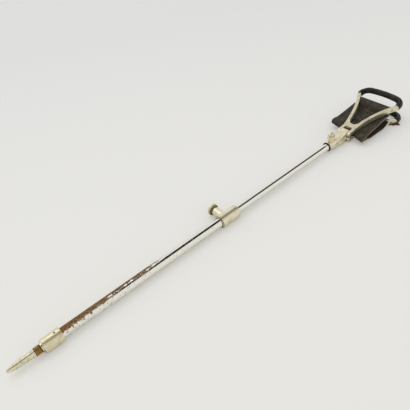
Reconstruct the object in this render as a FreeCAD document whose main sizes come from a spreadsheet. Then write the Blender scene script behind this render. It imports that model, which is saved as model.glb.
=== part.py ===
import FreeCAD, Part
import math
import os
import re
import Sketcher

# Adjustable shooting stick, lying on its ferrule, collar and lower grip.
# Stations run along +X from the tip of the spike, heights up from the stick's axis, in millimetres.
# The origin is under the middle of the stick, on the surface that it lies on.
SIZES = {
    # stick as a whole
    "axis_height": 12.7, "half_length": 501.95,
    # spike and ferrule
    "nose_radius": 3, "spike_radius": 6.2, "ogive_end": 27, "spike_end": 44, "cone_end": 48.5,
    "neck_radius": 7, "thread_radius": 7.1, "ring_start": 60, "ring_radius": 9.4,
    "shank_radius": 6, "plug_radius": 8.3, "plug_end": 92,
    "ferrule_start": 63, "ferrule_wall": 3, "ferrule_end": 98, "ferrule_radius": 12.7,
    "ferrule_pin_at": 88, "ferrule_pin_radius": 1.6, "ferrule_pin_length": 23.4, "tommy_radius": 1.25,
    # tubes
    "lower_radius": 9.525, "lower_bore": 8.325, "lower_end": 482,
    "upper_radius": 7.9375, "upper_bore": 6.75, "upper_start": 385, "upper_end": 828,
    "lock_radius": 3, "lock_pitch": 25, "lock_count": 12,
    "foot_radius": 8.25, "foot_bore": 5.2, "foot_length": 22, "foot_lip": 3,
    # collar with its boss
    "collar_start": 450, "collar_end": 497, "collar_radius": 12.7, "rim_radius": 10.6, "rim_depth": 2,
    "collar_round": 2.5, "boss_at": 467, "boss_radius": 8.3, "boss_top": 30, "spring_bore": 5,
    "spring_floor": 12, "rivet_at": 454, "rivet_radius": 1.2, "rivet_foot": 8.6, "rivet_top": 12.4,
    "guide_start": 483, "guide_end": 496, "guide_outer": 9.525, "guide_bore": 7.99,
    # plunger, measured outwards from the stick's axis
    "plunger_nose": 8.15, "plunger_radius": 2.5, "plunger_hole": 2.56, "flange_radius": 4.6,
    "flange_start": 15.6, "flange_end": 17, "plunger_top": 38.4,
    "bush_start": 25.5, "bush_lip": 7.6, "bush_top": 31.5,
    "knob_start": 35.2, "knob_thick": 5, "knob_radius": 12, "knob_hub": 8, "knob_dish": 1.2,
    "spring_wire": 0.5, "spring_coil": 3.6, "plunger_turns": 4,
    # head
    "head_start": 779, "head_end": 854, "sleeve_radius": 11, "head_radius": 15.6,
    "head_half_width": 11, "head_half_height": 12.4, "tongue_half": 9.25, "tongue_start": 832,
    "sleeve_bore": 8, "mouth_radius": 9.4, "mouth_depth": 5, "head_bore_end": 829,
    "head_pin_at": 804, "head_pin_radius": 1.5, "head_pin_length": 21.4,
    # button on the head, measured upwards from the stick's axis
    "button_at": 792, "pedestal_radius": 7.4, "pedestal_top": 18.5, "button_floor": 11,
    "nut_start": 15.5, "nut_radius": 8.4, "nut_top": 24, "nut_web": 19.2, "nut_bore": 6.6,
    "cap_start": 22, "cap_radius": 6.4, "cap_side": 25, "cap_top": 31.3,
    "stem_start": 4, "stem_radius": 2.4, "stem_hole": 2.5, "stem_top": 27,
    "stem_flange": 17, "stem_flange_end": 18.3, "button_turns": 4,
    # hinge
    "hinge_at": 842, "hinge_offset": 6, "pin_radius": 2.5, "eye_bore": 2.56, "pin_half": 16.2,
    "pin_head_radius": 3.2, "pin_head": 1, "open_angle": 11.2,
    # wishbone frames, measured outwards from the hinge pin
    "foot_inner": 9.6, "foot_outer": 16, "eye_radius": 5.6,
    "web_start": 17.5, "window_start": 12.8, "window_half": 7.4,
    "crotch_centre": 41.7, "arm_width": 7, "arm_bend": 290,
    "arm_centre_back": 22.2, "arm_centre_out": 299.4, "arm_end_angle": 31,
    "web_half_depth": 3.7, "arm_half_depth": 5.6, "tip_half_depth": 4.6,
    "bar_at": 113, "bar_radius": 3, "bar_half": 46.4,
    # handles
    "corner_centre": 131, "corner_radius": 22, "handle_half": 51.2, "handle_apex": 155.2,
    "handle_end_angle": 10,
    "core_radius": 4, "grip_radius": 6.7,
    # sling seat
    "leather": 2, "sling_start": 14, "sling_half": 48.5, "sling_top_half": 34.3,
    "sling_web_end": 28, "sling_arm_at": 46, "sling_narrow": 103, "hem_start": 106.5,
    "sling_drop_web": 4.1, "sling_drop_arm": 6,
    "tail_thick": 3.2, "tail_drop": 2.6,
}

doc = FreeCAD.newDocument("walking_stick_seat")
sheet = doc.addObject("Spreadsheet::Sheet", "Sizes")
for row, (word, value) in enumerate(SIZES.items(), start=1):
    sheet.set("A%d" % row, word)
    sheet.set("B%d" % row, str(value))
    sheet.setAlias("B%d" % row, word)
doc.recompute()


def bound(formula):
    """The same formula, written for the spreadsheet's cells."""
    return re.sub(r"[a-z]\w*", lambda found: "Sizes." + found.group(), str(formula))


def cell(word):
    return SIZES[word] if word in SIZES else float(word)


def amount(formula):
    """The number that a formula of sums, products and quotients stands for."""
    total = 0.0
    for term in str(formula).replace(" ", "").replace("-", "+-").split("+"):
        if not term:
            continue
        value = -1.0 if term.startswith("-") else 1.0
        for factor in term.lstrip("-").split("*"):
            over, *under = factor.split("/")
            value *= cell(over)
            for word in under:
                value /= cell(word)
        total += value
    return total


def bind(thing, prop, formula):
    thing.setExpression(prop, bound(formula))


def place(thing, along, up="axis_height", across="0", turn=None):
    """Put a sub-part at a station, turned about one row axis if asked."""
    if turn:
        axis, angle = turn
        thing.Placement = FreeCAD.Placement(FreeCAD.Vector(), FreeCAD.Rotation(axis, amount(angle)))
    bind(thing, "Placement.Base.x", "%s - half_length" % along)
    bind(thing, "Placement.Base.y", across)
    bind(thing, "Placement.Base.z", up)


X_AXIS = FreeCAD.Vector(1, 0, 0)
Y_AXIS = FreeCAD.Vector(0, 1, 0)
Z_AXIS = FreeCAD.Vector(0, 0, 1)


def new_body(label):
    body = doc.addObject("PartDesign::Body", label)
    body.Label = label
    return body


def new_sketch(body, plane, name):
    sketch = body.newObject("Sketcher::SketchObject", name)
    face = [part for part in body.Origin.OriginFeatures if part.Role == plane][0]
    sketch.AttachmentSupport = (face, [""])
    sketch.MapMode = "FlatFace"
    return sketch


def fix_point(sketch, edge, end, formulas):
    for kind, formula in zip(("DistanceX", "DistanceY"), formulas):
        index = sketch.addConstraint(Sketcher.Constraint(kind, -1, 1, edge, end, amount(formula)))
        bind(sketch, "Constraints[%d]" % index, formula)


def arc_through(start, middle, end):
    """The arc through three points, always drawn anticlockwise, and whether that swapped its ends."""
    circle = Part.Arc(start, middle, end).toShape().Curve
    centre, radius = circle.Center, circle.Radius
    turns = [math.atan2(spot.y - centre.y, spot.x - centre.x) for spot in (start, middle, end)]
    swapped = (turns[1] - turns[0]) % (2 * math.pi) > (turns[2] - turns[0]) % (2 * math.pi)
    first, last = (turns[2], turns[0]) if swapped else (turns[0], turns[2])
    if last < first:
        last += 2 * math.pi
    return Part.ArcOfCircle(Part.Circle(centre, Z_AXIS, radius), first, last), radius, swapped


def outline(sketch, corners):
    """A closed loop. A corner is (x, y), or (x, y, x_mid, y_mid) where an arc leads to the next one."""
    first = sketch.GeometryCount
    spots = [FreeCAD.Vector(amount(corner[0]), amount(corner[1]), 0) for corner in corners]
    ends, bends = [], []
    for index, corner in enumerate(corners):
        start, end = spots[index], spots[(index + 1) % len(spots)]
        edge, radius, swapped = Part.LineSegment(start, end), None, False
        if len(corner) == 4:
            middle = FreeCAD.Vector(amount(corner[2]), amount(corner[3]), 0)
            edge, radius, swapped = arc_through(start, middle, end)
        sketch.addGeometry(edge)
        ends.append((2, 1) if swapped else (1, 2))
        bends.append(radius)
    for index, corner in enumerate(corners):
        following = (index + 1) % len(corners)
        sketch.addConstraint(Sketcher.Constraint("Coincident", first + index, ends[index][1],
                                                 first + following, ends[following][0]))
        fix_point(sketch, first + index, ends[index][0], corner[:2])
        if bends[index]:
            sketch.addConstraint(Sketcher.Constraint("Radius", first + index, bends[index]))


def ring(sketch, x, y, radius):
    """A circle, bound to its centre and radius."""
    centre = FreeCAD.Vector(amount(x), amount(y), 0)
    edge = sketch.addGeometry(Part.Circle(centre, Z_AXIS, amount(radius)))
    fix_point(sketch, edge, 3, (x, y))
    index = sketch.addConstraint(Sketcher.Constraint("Radius", edge, amount(radius)))
    bind(sketch, "Constraints[%d]" % index, radius)


def revolve(body, corners, cut=False, name="turning"):
    """Turn an outline of (along, radius) corners about the body's X axis."""
    sketch = new_sketch(body, "XY_Plane", name + "_sketch")
    outline(sketch, corners)
    kind = "PartDesign::Groove" if cut else "PartDesign::Revolution"
    feature = body.newObject(kind, name)
    feature.Profile = sketch
    feature.ReferenceAxis = (sketch, ["H_Axis"])
    feature.Angle = 360
    return feature


def pad(body, sketch, length, name, midplane=True, reverse=False):
    feature = body.newObject("PartDesign::Pad", name)
    feature.Profile = sketch
    feature.SideType = "Symmetric" if midplane else "One side"
    feature.Reversed = reverse
    bind(feature, "Length", length)
    return feature


def cut(body, sketch, name, length=None, reverse=False):
    """Pocket a sketch: right through both ways, or to a length on one side."""
    feature = body.newObject("PartDesign::Pocket", name)
    feature.Profile = sketch
    if length is None:
        feature.SideType = "Symmetric"
        feature.Type = "ThroughAll"
    else:
        feature.Reversed = reverse
        bind(feature, "Length", length)
    return feature


def drill(body, plane, x, y, radius, name, length=None, reverse=False):
    sketch = new_sketch(body, plane, name + "_sketch")
    ring(sketch, x, y, radius)
    return cut(body, sketch, name, length, reverse)


def turned(label, corners):
    body = new_body(label)
    revolve(body, corners)
    return body


def tube_profile(start, end, inner, outer):
    return [(start, inner), (end, inner), (end, outer), (start, outer)]


# Spike, ferrule and lower tube: the fixed end of the stick
def make_spike():
    body = turned("spike", [
        ("0", "0"),
        ("0", "0.4", "nose_radius*0.17", "nose_radius*0.56"),
        ("nose_radius*0.63", "nose_radius*0.93", "14.4", "5.36"),
        ("ogive_end", "spike_radius"),
        ("spike_end", "spike_radius"),
        ("cone_end", "neck_radius"),
        ("cone_end + 0.8", "thread_radius"),
        ("ring_start", "thread_radius"),
        ("ring_start", "shank_radius"),
        ("ferrule_start + ferrule_wall", "shank_radius"),
        ("ferrule_start + ferrule_wall", "plug_radius"),
        ("plug_end", "plug_radius"),
        ("plug_end", "0"),
    ])
    drill(body, "XY_Plane", "ferrule_pin_at", "0", "ferrule_pin_radius", "pin_hole")
    place(body, "0")


def make_shoulder_ring():
    body = turned("shoulder_ring", [
        ("ring_start", "shank_radius"),
        ("ferrule_start", "shank_radius"),
        ("ferrule_start", "ring_radius"),
        ("ring_start + 0.8", "ring_radius"),
        ("ring_start", "ring_radius - 0.8"),
    ])
    drill(body, "XZ_Plane", "ring_start + 1.6", "0", "tommy_radius", "tommy_hole", "ring_radius + 1", True)
    place(body, "0")


def make_ferrule():
    body = turned("ferrule", [
        ("ferrule_start", "shank_radius"),
        ("ferrule_start + ferrule_wall", "shank_radius"),
        ("ferrule_start + ferrule_wall", "lower_radius"),
        ("ferrule_end", "lower_radius"),
        ("ferrule_end", "ferrule_radius - 0.6"),
        ("ferrule_end - 0.6", "ferrule_radius"),
        ("ferrule_start + 1.2", "ferrule_radius"),
        ("ferrule_start", "ferrule_radius - 1.2"),
    ])
    drill(body, "XY_Plane", "ferrule_pin_at", "0", "ferrule_pin_radius", "pin_hole")
    place(body, "0")


def make_ferrule_pin():
    pin = doc.addObject("Part::Cylinder", "ferrule_pin")
    bind(pin, "Radius", "ferrule_pin_radius")
    bind(pin, "Height", "ferrule_pin_length")
    place(pin, "ferrule_pin_at", "axis_height - ferrule_pin_length/2")


def make_lower_tube():
    body = turned("lower_tube", tube_profile("ferrule_start + ferrule_wall", "lower_end", "lower_bore",
                                             "lower_radius"))
    drill(body, "XY_Plane", "ferrule_pin_at", "0", "ferrule_pin_radius", "pin_hole")
    drill(body, "XY_Plane", "rivet_at", "0", "rivet_radius", "rivet_holes")
    drill(body, "XZ_Plane", "boss_at", "0", "plunger_hole", "plunger_hole", "lower_radius + 1")
    place(body, "0")


# Collar: a cast sleeve with a side boss that holds the spring plunger
def make_collar():
    body = new_body("collar")
    revolve(body, [
        ("collar_start", "0"),
        ("collar_end", "0"),
        ("collar_end", "collar_radius - collar_round",
         "collar_end - collar_round*0.293", "collar_radius - collar_round*0.293"),
        ("collar_end - collar_round", "collar_radius"),
        ("collar_start + 0.5", "collar_radius"),
        ("collar_start", "collar_radius - 0.5"),
    ])
    boss = new_sketch(body, "XZ_Plane", "boss_sketch")
    ring(boss, "boss_at", "0", "boss_radius")
    bossed = pad(body, boss, "boss_top", "boss", midplane=False, reverse=True)
    doc.recompute()
    root = [index for index, edge in enumerate(body.Shape.Edges, start=1) if is_boss_root(edge)]
    fillet = body.newObject("PartDesign::Fillet", "boss_fillet")
    fillet.Base = (bossed, ["Edge%d" % index for index in root])
    fillet.Radius = 1.8
    revolve(body, [
        ("collar_start - 1", "0"),
        ("collar_end + 1", "0"),
        ("collar_end + 1", "guide_bore + 0.4"),
        ("guide_end", "guide_bore + 0.4"),
        ("guide_end", "lower_radius"),
        ("collar_start + rim_depth", "lower_radius"),
        ("collar_start + rim_depth", "rim_radius"),
        ("collar_start - 1", "rim_radius"),
    ], cut=True, name="bore")
    drill(body, "XZ_Plane", "boss_at", "0", "plunger_hole", "plunger_hole", "boss_top + 1")
    well = new_sketch(body, "XZ_Plane", "spring_well_sketch")
    ring(well, "boss_at", "0", "spring_bore")
    well.AttachmentOffset = FreeCAD.Placement(FreeCAD.Vector(0, 0, -SIZES["spring_floor"]),
                                              FreeCAD.Rotation())
    bind(well, "AttachmentOffset.Base.z", "0 - spring_floor")
    cut(body, well, "spring_well", "boss_top")
    drill(body, "XY_Plane", "rivet_at", "0", "rivet_radius", "rivet_holes")
    place(body, "0")


def is_boss_root(edge):
    """The curved edge where the boss leaves the sleeve, on its +Y side."""
    box = edge.BoundBox
    inside = box.YMax < amount("collar_radius") + 0.1 and box.YMin > 1
    return inside and box.XLength > amount("boss_radius") and box.ZLength > amount("boss_radius")


def make_collar_rivets():
    pins = []
    for name, foot in (("top", "rivet_foot"), ("bottom", "0 - rivet_top")):
        pin = doc.addObject("Part::Cylinder", "rivet_" + name)
        bind(pin, "Radius", "rivet_radius")
        bind(pin, "Height", "rivet_top - rivet_foot")
        bind(pin, "Placement.Base.z", foot)
        pins.append(pin)
    group = doc.addObject("Part::Compound", "collar_rivets")
    group.Links = pins
    place(group, "rivet_at")


def make_guide_bush():
    body = turned("guide_bush", tube_profile("guide_start", "guide_end", "guide_bore", "guide_outer"))
    place(body, "0")


# Plunger: its own X axis points out of the boss
def place_on_boss(thing):
    place(thing, "boss_at", turn=(Z_AXIS, "90"))


def make_boss_bush():
    place_on_boss(turned("boss_bush", [
        ("bush_start", "plunger_hole"),
        ("bush_top", "plunger_hole"),
        ("bush_top", "bush_lip - 0.5"),
        ("bush_top - 0.5", "bush_lip"),
        ("boss_top", "bush_lip"),
        ("boss_top", "spring_bore"),
        ("bush_start", "spring_bore"),
    ]))


def make_plunger_pin():
    place_on_boss(turned("plunger_pin", [
        ("plunger_nose", "0"),
        ("plunger_nose", "plunger_radius - 0.6"),
        ("plunger_nose + 0.6", "plunger_radius"),
        ("flange_start", "plunger_radius"),
        ("flange_start", "flange_radius"),
        ("flange_end", "flange_radius"),
        ("flange_end", "plunger_radius"),
        ("plunger_top", "plunger_radius"),
        ("plunger_top", "0"),
    ]))


def make_plunger_knob():
    place_on_boss(turned("plunger_knob", [
        ("knob_start", "plunger_radius"),
        ("knob_start", "knob_hub - 2"),
        ("knob_start + knob_dish", "knob_hub"),
        ("knob_start + knob_dish", "knob_radius - 2"),
        ("knob_start", "knob_radius - 1.4"),
        ("knob_start", "knob_radius - 0.5"),
        ("knob_start + 0.5", "knob_radius"),
        ("knob_start + knob_thick - 0.7", "knob_radius"),
        ("knob_start + knob_thick", "knob_radius - 0.9"),
        ("knob_start + knob_thick + 0.4", "0"),
        ("plunger_top", "0"),
        ("plunger_top", "plunger_radius"),
    ]))


def make_spring(label, start, end, turns, place_it):
    """A coil spring of square wire along the body's X axis, squeezed between two seats."""
    body = new_body(label)
    wire = new_sketch(body, "XY_Plane", "wire_sketch")
    back = "%s + 2*spring_wire" % start
    outline(wire, [(start, "spring_coil - spring_wire"), (back, "spring_coil - spring_wire"),
                   (back, "spring_coil + spring_wire"), (start, "spring_coil + spring_wire")])
    coil = body.newObject("PartDesign::AdditiveHelix", "coil")
    coil.Profile = wire
    coil.ReferenceAxis = (wire, ["H_Axis"])
    coil.Mode = "height-turns-angle"
    bind(coil, "Height", "%s - %s - 2*spring_wire" % (end, start))
    bind(coil, "Turns", turns)
    place_it(body)


# Upper tube: slides in the guide bush, with a row of locking holes that face the boss
def make_upper_tube():
    body = turned("upper_tube", tube_profile("upper_start", "upper_end", "upper_bore", "upper_radius"))
    first = drill(body, "XZ_Plane", "boss_at", "0", "lock_radius", "lock_hole", "upper_radius + 1")
    row = body.newObject("PartDesign::LinearPattern", "lock_holes")
    row.Originals = [first]
    along = [part for part in body.Origin.OriginFeatures if part.Role == "X_Axis"][0]
    row.Direction = (along, [""])
    bind(row, "Length", "lock_pitch*lock_count - lock_pitch")
    bind(row, "Occurrences", "lock_count")
    body.Tip = row
    drill(body, "XZ_Plane", "head_pin_at", "0", "head_pin_radius", "head_pin_hole")
    drill(body, "XY_Plane", "button_at", "0", "stem_hole", "stem_hole", "upper_radius + 1", True)
    place(body, "0")


def make_tube_foot():
    body = turned("tube_foot", [
        ("upper_start - foot_lip", "foot_bore"),
        ("upper_start + foot_length", "foot_bore"),
        ("upper_start + foot_length", "upper_bore"),
        ("upper_start", "upper_bore"),
        ("upper_start", "foot_radius"),
        ("upper_start - foot_lip + 0.6", "foot_radius"),
        ("upper_start - foot_lip", "foot_radius - 0.6"),
    ])
    place(body, "0")


# Head: a round flared sleeve, cut flat above, below and at the sides, that ends in a rounded tongue
def make_head():
    body = new_body("head")
    revolve(body, [
        ("head_start", "0"),
        ("head_end", "0"),
        ("head_end", "head_radius"),
        ("hinge_at - 14", "head_radius"),
        ("head_start + 8", "sleeve_radius + 0.2"),
        ("head_start + 0.6", "sleeve_radius"),
        ("head_start", "sleeve_radius - 0.6"),
    ])
    frame_from, frame_to, frame_half = "head_start - 5", "head_end + 5", "head_radius + 5"
    sides = new_sketch(body, "XY_Plane", "plan_sketch")
    outline(sides, box_corners(frame_from, frame_to, frame_half))
    outline(sides, [
        ("head_start - 1", "0 - head_half_width"),
        ("tongue_start - 2", "0 - head_half_width"),
        ("tongue_start", "0 - tongue_half"),
        ("head_end", "0 - tongue_half"),
        ("head_end", "tongue_half"),
        ("tongue_start", "tongue_half"),
        ("tongue_start - 2", "head_half_width"),
        ("head_start - 1", "head_half_width"),
    ])
    cut(body, sides, "plan_cut")
    side = new_sketch(body, "XZ_Plane", "side_sketch")
    outline(side, box_corners(frame_from, frame_to, frame_half))
    outline(side, [
        ("head_start - 1", "0 - sleeve_radius"),
        ("head_start + 14", "0 - sleeve_radius - 0.2"),
        ("hinge_at - 10", "0 - head_half_height"),
        ("hinge_at + 3", "0 - head_half_height", "head_end - 2.64", "0 - head_half_height + 2.64"),
        ("head_end", "0 - 3.4"),
        ("head_end", "3.4", "head_end - 2.64", "head_half_height - 2.64"),
        ("hinge_at + 3", "head_half_height"),
        ("hinge_at - 10", "head_half_height"),
        ("head_start + 14", "sleeve_radius + 0.2"),
        ("head_start - 1", "sleeve_radius"),
    ])
    cut(body, side, "side_cut")
    pedestal = new_sketch(body, "XY_Plane", "pedestal_sketch")
    ring(pedestal, "button_at", "0", "pedestal_radius")
    pad(body, pedestal, "pedestal_top", "pedestal", midplane=False)
    revolve(body, [
        ("head_start - 1", "0"),
        ("head_bore_end", "0"),
        ("head_bore_end", "sleeve_bore"),
        ("head_start + mouth_depth", "sleeve_bore"),
        ("head_start + mouth_depth", "mouth_radius"),
        ("head_start - 1", "mouth_radius"),
    ], cut=True, name="bore")
    drill(body, "XY_Plane", "button_at", "0", "stem_hole", "stem_hole", "pedestal_top + 1", True)
    well = new_sketch(body, "XY_Plane", "button_well_sketch")
    ring(well, "button_at", "0", "flange_radius")
    bind(well, "AttachmentOffset.Base.z", "button_floor")
    cut(body, well, "button_well", "pedestal_top", True)
    drill(body, "XZ_Plane", "head_pin_at", "0", "head_pin_radius", "head_pin_hole")
    drill(body, "XZ_Plane", "hinge_at", "hinge_offset", "pin_radius", "upper_pin_hole")
    drill(body, "XZ_Plane", "hinge_at", "0 - hinge_offset", "pin_radius", "lower_pin_hole")
    place(body, "0")


def box_corners(start, end, half):
    return [(start, "0 - %s" % half.replace("+", "-")), (end, "0 - %s" % half.replace("+", "-")),
            (end, half), (start, half)]


def make_head_pin():
    pin = doc.addObject("Part::Cylinder", "head_pin")
    bind(pin, "Radius", "head_pin_radius")
    bind(pin, "Height", "head_pin_length")
    place(pin, "head_pin_at", across="head_pin_length/2", turn=(X_AXIS, "90"))


# Button: its own X axis points up
def place_on_head(thing):
    place(thing, "button_at", turn=(Y_AXIS, "-90"))


def make_button_nut():
    place_on_head(turned("button_nut", [
        ("nut_start", "pedestal_radius"),
        ("pedestal_top", "pedestal_radius"),
        ("pedestal_top", "stem_hole"),
        ("nut_web", "stem_hole"),
        ("nut_web", "nut_bore"),
        ("nut_top", "nut_bore"),
        ("nut_top", "nut_radius - 0.6"),
        ("nut_top - 0.6", "nut_radius"),
        ("nut_start + 0.4", "nut_radius"),
        ("nut_start", "nut_radius - 0.4"),
    ]))


def make_button_cap():
    place_on_head(turned("button_cap", [
        ("cap_start", "stem_radius"),
        ("cap_start", "cap_radius"),
        ("cap_side", "cap_radius", "cap_top - 1.7", "cap_radius - 1.9"),
        ("cap_top", "0.3"),
        ("cap_top", "0"),
        ("stem_top", "0"),
        ("stem_top", "stem_radius"),
    ]))


def make_button_stem():
    place_on_head(turned("button_stem", [
        ("stem_start", "0"),
        ("stem_start", "stem_radius"),
        ("stem_flange", "stem_radius"),
        ("stem_flange", "flange_radius - 0.35"),
        ("stem_flange_end", "flange_radius - 0.35"),
        ("stem_flange_end", "stem_radius"),
        ("stem_top", "stem_radius"),
        ("stem_top", "0"),
    ]))


def make_hinge_pin(label, sign):
    """A rivet across the tongue with a domed head at each end."""
    body = turned(label, [
        ("0 - pin_half - pin_head", "0"),
        ("0 - pin_half - pin_head", "pin_head_radius*0.4"),
        ("0 - pin_half - pin_head*0.7", "pin_head_radius*0.8"),
        ("0 - pin_half - pin_head*0.3", "pin_head_radius"),
        ("0 - pin_half", "pin_head_radius"),
        ("0 - pin_half", "pin_radius"),
        ("pin_half", "pin_radius"),
        ("pin_half", "pin_head_radius"),
        ("pin_half + pin_head*0.3", "pin_head_radius"),
        ("pin_half + pin_head*0.7", "pin_head_radius*0.8"),
        ("pin_half + pin_head", "pin_head_radius*0.4"),
        ("pin_half + pin_head", "0"),
    ])
    place(body, "hinge_at", "axis_height + hinge_offset*%d" % sign, turn=(Z_AXIS, "90"))


# Frames: each is drawn flat about its own hinge pin, outwards along X, and then swung to its angle
def place_on_hinge(thing, sign):
    turn = (Y_AXIS, "0 - open_angle") if sign > 0 else None
    place(thing, "hinge_at", "axis_height + hinge_offset*%d" % sign, turn=turn)


def arm_spot(radius, heading, side=1):
    """A point on an arc about the arm's centre of curvature, by its heading in radians."""
    along = radius * math.sin(heading) - SIZES["arm_centre_back"]
    across = SIZES["arm_centre_out"] - radius * math.cos(heading)
    return ("%.5f" % along, "%.5f" % (side * across))


def wishbone_outline():
    """The plan of a frame: clevis feet, web, crotch and two curved arms."""
    outer, inner = amount("arm_bend - arm_width/2"), amount("arm_bend + arm_width/2")
    foot = math.acos(amount("arm_centre_out - foot_outer") / outer)
    tip = math.radians(SIZES["arm_end_angle"])
    away = amount("crotch_centre + arm_centre_back")
    lean = math.atan2(away, SIZES["arm_centre_out"])
    bend = math.hypot(away, SIZES["arm_centre_out"]) - inner
    crotch = SIZES["crotch_centre"] - bend
    crotch_middle = ("%.5f" % (SIZES["crotch_centre"] - bend * 0.76604), "%.5f" % (bend * 0.64279))
    return [
        ("0 - eye_radius", "foot_inner"),
        ("0 - eye_radius", "foot_outer"),
        arm_spot(outer, foot) + arm_spot(outer, (foot + tip) / 2),
        arm_spot(outer, tip),
        arm_spot(inner, tip) + arm_spot(inner, (tip + lean) / 2),
        arm_spot(inner, lean) + crotch_middle,
        ("%.5f" % crotch, "0", crotch_middle[0], "0 - " + crotch_middle[1]),
        arm_spot(inner, lean, -1) + arm_spot(inner, (tip + lean) / 2, -1),
        arm_spot(inner, tip, -1),
        arm_spot(outer, tip, -1) + arm_spot(outer, (foot + tip) / 2, -1),
        arm_spot(outer, foot, -1),
        ("0 - eye_radius", "0 - foot_outer"),
        ("0 - eye_radius", "0 - foot_inner"),
        ("window_start", "0 - foot_inner"),
        ("web_start", "0 - window_half"),
        ("web_start", "window_half"),
        ("window_start", "foot_inner"),
    ]


def make_wishbone(label):
    body = new_body(label)
    plan = new_sketch(body, "XY_Plane", "plan_sketch")
    outline(plan, wishbone_outline())
    pad(body, plan, "eye_radius*2", "plan")
    side = new_sketch(body, "XZ_Plane", "side_sketch")
    outline(side, box_corners("0 - 20", "150", "20"))
    upper = [("12", "web_half_depth"), ("30", "web_half_depth"), ("sling_arm_at", "arm_half_depth"),
             ("100", "arm_half_depth"), ("132", "tip_half_depth")]
    lower = [(along, "0 - " + depth) for along, depth in upper]
    outline(side, [("0", "0 - eye_radius")] + lower + upper[::-1]
            + [("0", "eye_radius", "0 - eye_radius*0.70711", "eye_radius*0.70711"),
               ("0 - eye_radius", "0", "0 - eye_radius*0.70711", "0 - eye_radius*0.70711")])
    cut(body, side, "side_cut")
    drill(body, "XZ_Plane", "0", "0", "eye_bore", "eye_holes")
    drill(body, "XZ_Plane", "bar_at", "0", "bar_radius", "bar_holes")
    return body


def handle_segments(prefix, radius, extra=0):
    """The handle's line as three ring segments: a corner, the crown and the other corner.
    Both ends can run on past the arms' tips by a few degrees, or stop short of them."""
    reach = amount("handle_apex - corner_centre")
    off, bend = amount("handle_half - corner_radius"), SIZES["corner_radius"]
    crown = (reach ** 2 + off ** 2 - bend ** 2) / (2 * (reach - bend))
    centre = SIZES["handle_apex"] - crown
    meet = math.degrees(math.atan2(off, SIZES["corner_centre"] - centre))
    start = SIZES["handle_end_angle"] + 90 + extra
    segments = []
    for name, along, across, bow, first, last in (
            ("left", SIZES["corner_centre"], off, bend, meet, start),
            ("crown", centre, 0, crown, -meet, meet),
            ("right", SIZES["corner_centre"], -off, bend, -start, -meet)):
        segment = doc.addObject("Part::Torus", "%s_%s" % (prefix, name))
        segment.Radius1 = bow
        bind(segment, "Radius2", radius)
        segment.Angle3 = last - first
        segment.Placement = FreeCAD.Placement(FreeCAD.Vector(along, across, 0),
                                              FreeCAD.Rotation(Z_AXIS, first))
        segments.append(segment)
    return segments


def make_frame(label, sign):
    fuse = doc.addObject("Part::MultiFuse", label)
    fuse.Shapes = [make_wishbone(label + "_wishbone")] + handle_segments(label + "_core", "core_radius", 3)
    place_on_hinge(fuse, sign)


def make_grip(label, sign):
    wrap = doc.addObject("Part::MultiFuse", label + "_wrap")
    wrap.Shapes = handle_segments(label + "_outer", "grip_radius", -5)
    core = doc.addObject("Part::MultiFuse", label + "_core")
    core.Shapes = handle_segments(label + "_inner", "core_radius", 1)
    grip = doc.addObject("Part::Cut", label)
    grip.Base = wrap
    grip.Tool = core
    place_on_hinge(grip, sign)


def make_seat_bar(label, sign):
    body = turned(label, [
        ("0 - bar_half", "0"),
        ("0 - bar_half", "bar_radius - 0.5"),
        ("0 - bar_half + 0.5", "bar_radius"),
        ("bar_half - 0.5", "bar_radius"),
        ("bar_half", "bar_radius - 0.5"),
        ("bar_half", "0"),
    ])
    rod = doc.addObject("Part::Compound", label + "_at_bar")
    body.Placement = FreeCAD.Placement(FreeCAD.Vector(), FreeCAD.Rotation(Z_AXIS, 90))
    bind(body, "Placement.Base.x", "bar_at")
    rod.Links = [body]
    body.Label = label + "_rod"
    rod.Label = label
    place_on_hinge(rod, sign)


def make_sling(label, sign):
    """Half of the sling: a panel on the inner face of a frame that loops round its seat bar."""
    body = new_body(label)
    sense = "0 - " if sign > 0 else "0 + "
    near = [("sling_start", "sling_drop_web"), ("sling_web_end", "sling_drop_web"),
            ("sling_arm_at", "sling_drop_arm"), ("hem_start", "sling_drop_arm"), ("bar_at", "bar_radius + 0.02")]
    far = [(along, depth.replace(" + 0.02", "") + " + leather") for along, depth in near]
    side = new_sketch(body, "XZ_Plane", "side_sketch")
    outline(side, [(along, sense + depth.replace("+", "-" if sign > 0 else "+"))
                   for along, depth in near + far[::-1]])
    pad(body, side, "sling_half*2", "panel")
    hem = new_sketch(body, "XZ_Plane", "hem_sketch")
    ring(hem, "bar_at", "0", "bar_radius + leather")
    pad(body, hem, "sling_top_half*2", "hem")
    plan = new_sketch(body, "XY_Plane", "plan_sketch")
    outline(plan, box_corners("0", "140", "60"))
    upper = [("bar_at + 12", "sling_top_half"), ("hem_start - 2", "sling_top_half"), ("sling_narrow", "sling_half"),
             ("sling_start - 5", "sling_half")]
    lower = [(along, "0 - " + half) for along, half in upper]
    outline(plan, upper + lower[::-1])
    cut(body, plan, "plan_cut")
    drill(body, "XZ_Plane", "bar_at", "0", "bar_radius", "bar_hole")
    place_on_hinge(body, sign)


def make_grip_tail():
    """A frayed scrap of old wrapping on the outside of the lower frame's arm, near its tip."""
    body = new_body("grip_tail")
    plan = new_sketch(body, "XY_Plane", "plan_sketch")
    outer = amount("arm_bend - arm_width/2")
    tip = math.radians(SIZES["arm_end_angle"])
    start = tip - 0.05
    outline(plan, [
        arm_spot(outer, start, -1) + arm_spot(outer, tip - 0.025, -1),
        arm_spot(outer, tip, -1),
        ("127.6", "0 - 56.4"), ("126.2", "0 - 57.6"), ("121", "0 - 57.8"), ("114", "0 - 55"), ("111.5", "0 - 50.5"),
    ])
    plan.AttachmentOffset = FreeCAD.Placement(FreeCAD.Vector(0, 0, -SIZES["tail_drop"]), FreeCAD.Rotation())
    pad(body, plan, "tail_thick", "scrap")
    place_on_hinge(body, -1)


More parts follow.
